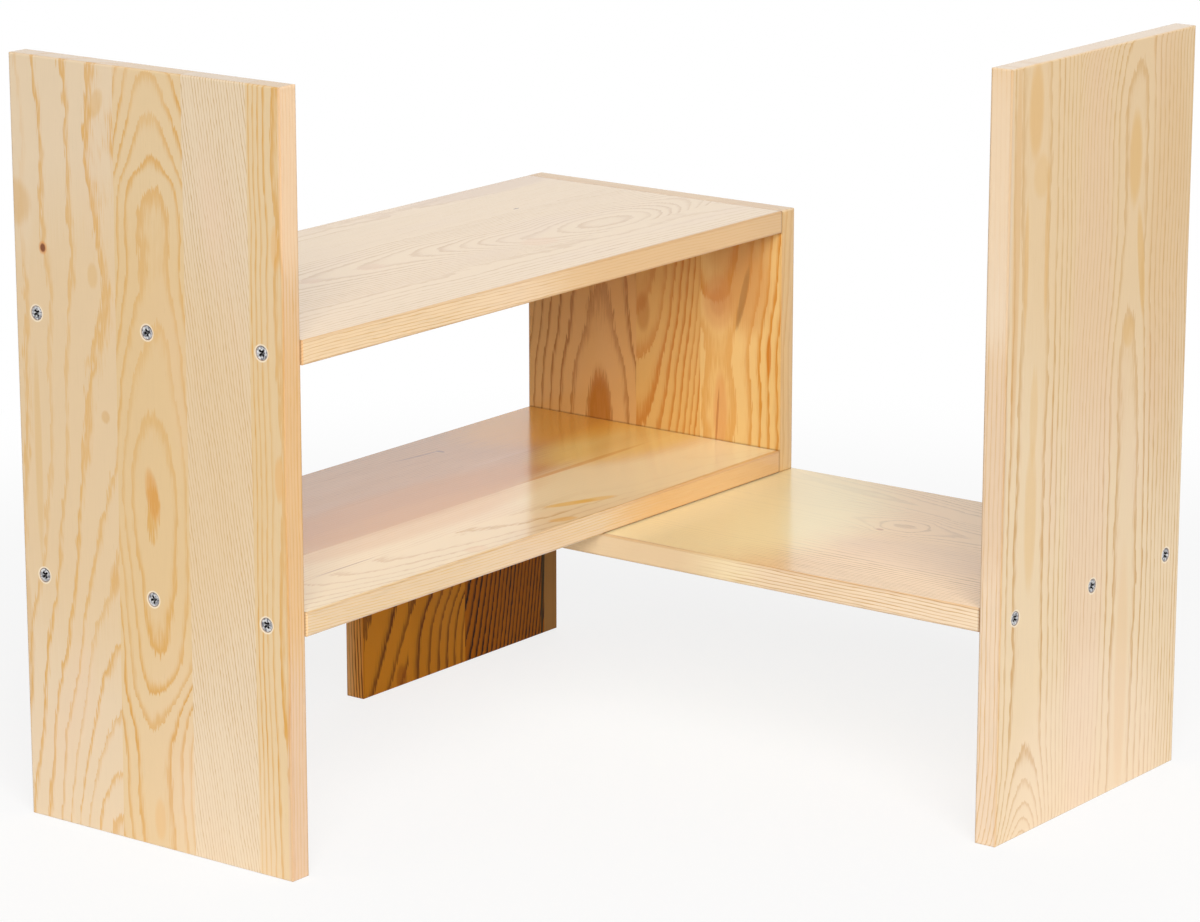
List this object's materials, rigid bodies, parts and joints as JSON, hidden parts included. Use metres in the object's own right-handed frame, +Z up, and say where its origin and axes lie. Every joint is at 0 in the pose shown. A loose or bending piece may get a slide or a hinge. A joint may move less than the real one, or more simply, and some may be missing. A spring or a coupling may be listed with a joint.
{
  "type": "desktop bookshelf",
  "caption": "Free-standing pine desktop bookshelf: a shelf unit rests across a lower one and swivels over it, from an L shape to a straight line.",
  "frame": {"origin": "on the desk, at the centre of the bounding box's underside", "axes": "+Z up; the lower unit runs along X with its front towards -Y; the upper unit runs along Y with its front towards +X"},
  "size_m": [0.41, 0.412, 0.38],
  "materials": {
    "pine_board": "satin",
    "screw_zinc": "satin"
  },
  "bodies": {
    "lower_unit": {"lower_tall_panel": "pine_board", "lower_shelf": "pine_board", "leg": "pine_board", "screw_lower_panel_front": "screw_zinc", "screw_lower_panel_middle": "screw_zinc", "screw_lower_panel_back": "screw_zinc", "screw_leg_front": "screw_zinc", "screw_leg_middle": "screw_zinc", "screw_leg_back": "screw_zinc"},
    "upper_unit": {"upper_tall_panel": "pine_board", "upper_low_shelf": "pine_board", "upper_top_shelf": "pine_board", "end_panel": "pine_board", "screw_upper_panel_top_front": "screw_zinc", "screw_upper_panel_top_middle": "screw_zinc", "screw_upper_panel_top_back": "screw_zinc", "screw_upper_panel_low_front": "screw_zinc", "screw_upper_panel_low_middle": "screw_zinc", "screw_upper_panel_low_back": "screw_zinc", "screw_end_panel_top_front": "screw_zinc", "screw_end_panel_top_middle": "screw_zinc", "screw_end_panel_top_back": "screw_zinc", "screw_end_panel_low_front": "screw_zinc", "screw_end_panel_low_middle": "screw_zinc", "screw_end_panel_low_back": "screw_zinc"}
  },
  "joints": [
    {"name": "swivel", "type": "hinge", "parent": "lower_unit", "child": "upper_unit", "pos_m": [-0.117, 0.121, 0.1185], "axis": [0, 0, 1], "range_deg": [-238, 58]}
  ]
}
